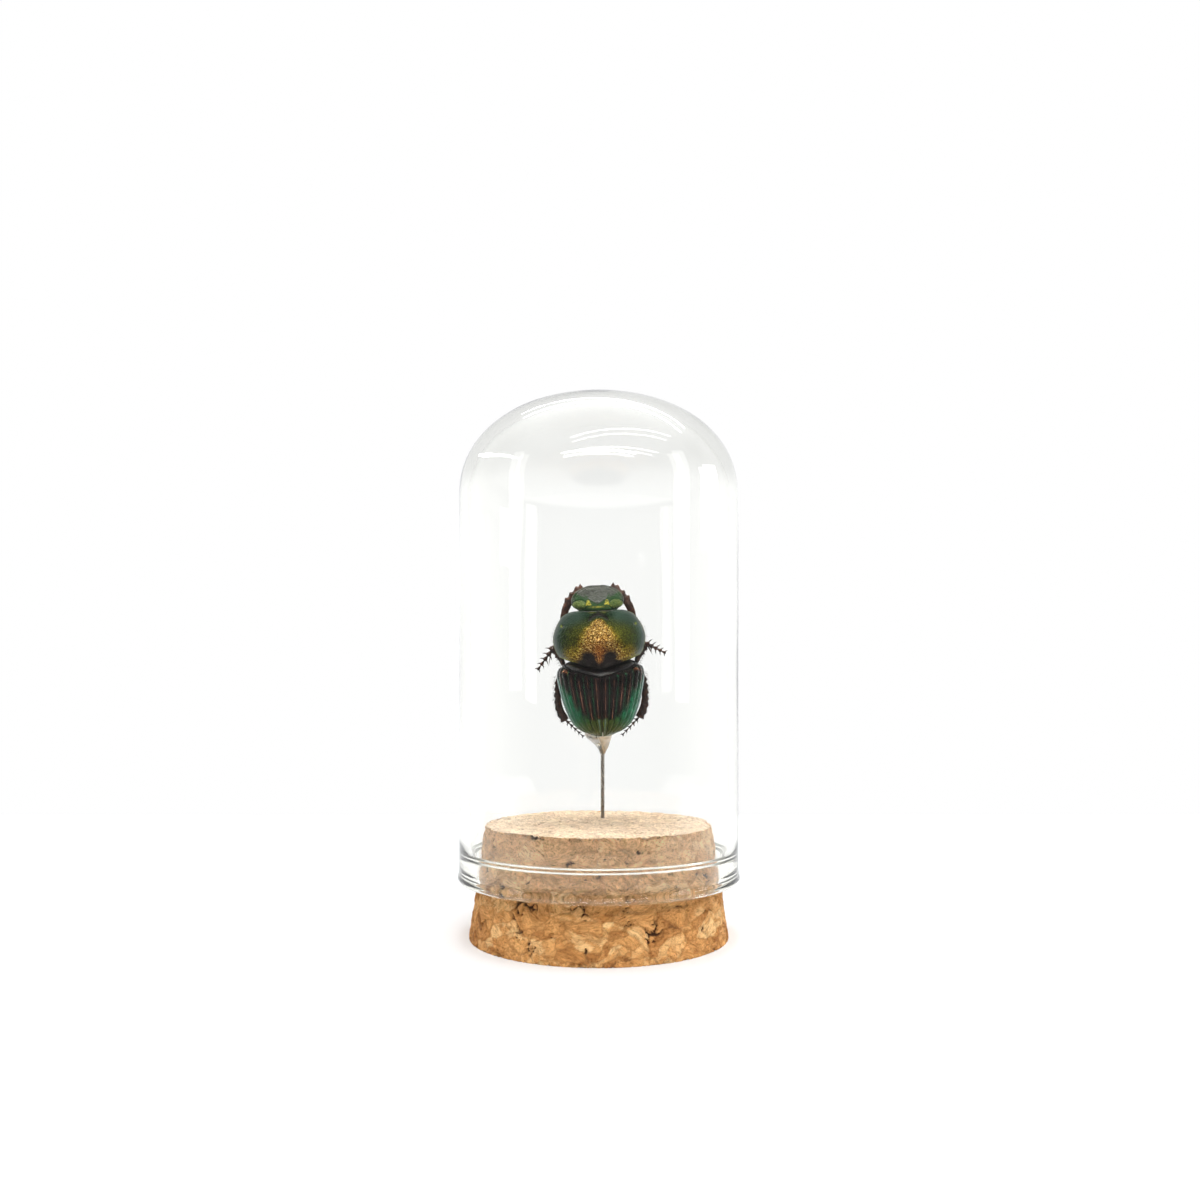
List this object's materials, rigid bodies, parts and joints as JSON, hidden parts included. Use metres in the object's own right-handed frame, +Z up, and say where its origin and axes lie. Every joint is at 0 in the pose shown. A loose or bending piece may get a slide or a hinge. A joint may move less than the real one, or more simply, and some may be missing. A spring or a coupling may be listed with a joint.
{
  "type": "insect in glass dome",
  "caption": "Dried rainbow scarab beetle on a pin in a tapered cork stopper, shown head up under a clear glass dome whose mouth fits over the cork.",
  "frame": {"origin": "centre of the cork stopper's flat base", "axes": "+Z up along the dome's axis, the beetle's back faces -Y and its right side is at +X"},
  "size_m": [0.03, 0.03, 0.0578],
  "materials": {
    "clear_glass": "clear blown glass, polished, a faint green tint at the thick mouth",
    "agglomerated_cork": "matt pressed cork granules, tan with dark bark flecks",
    "pin_steel": "thin drawn steel wire, slightly browned",
    "dried_glue": "translucent dried glue, beige, smooth",
    "green_cuticle": "glossy metallic green beetle cuticle, ribbed and pitted",
    "gold_green_cuticle": "metallic gold and green beetle cuticle with a fine grainy surface",
    "black_cuticle": "shiny black to dark brown beetle cuticle with bristles"
  },
  "bodies": {
    "root": {"glass_dome": "clear_glass", "cork_stopper": "agglomerated_cork", "insect_pin": "pin_steel", "glue_drop": "dried_glue", "head": "green_cuticle", "prothorax": "gold_green_cuticle", "elytron_left": "green_cuticle", "elytron_right": "green_cuticle", "thorax_abdomen": "black_cuticle", "antenna_left": "black_cuticle", "antenna_right": "black_cuticle", "fore_femur_left": "black_cuticle", "fore_femur_right": "black_cuticle", "fore_tibia_left": "black_cuticle", "fore_tibia_right": "black_cuticle", "mid_femur_left": "black_cuticle", "mid_femur_right": "black_cuticle", "mid_tibia_left": "black_cuticle", "mid_tibia_right": "black_cuticle", "mid_tarsus_left": "black_cuticle", "mid_tarsus_right": "black_cuticle", "hind_femur_left": "black_cuticle", "hind_femur_right": "black_cuticle", "hind_tibia_left": "black_cuticle", "hind_tibia_right": "black_cuticle", "hind_tarsus_left": "black_cuticle", "hind_tarsus_right": "black_cuticle"}
  },
  "joints": []
}
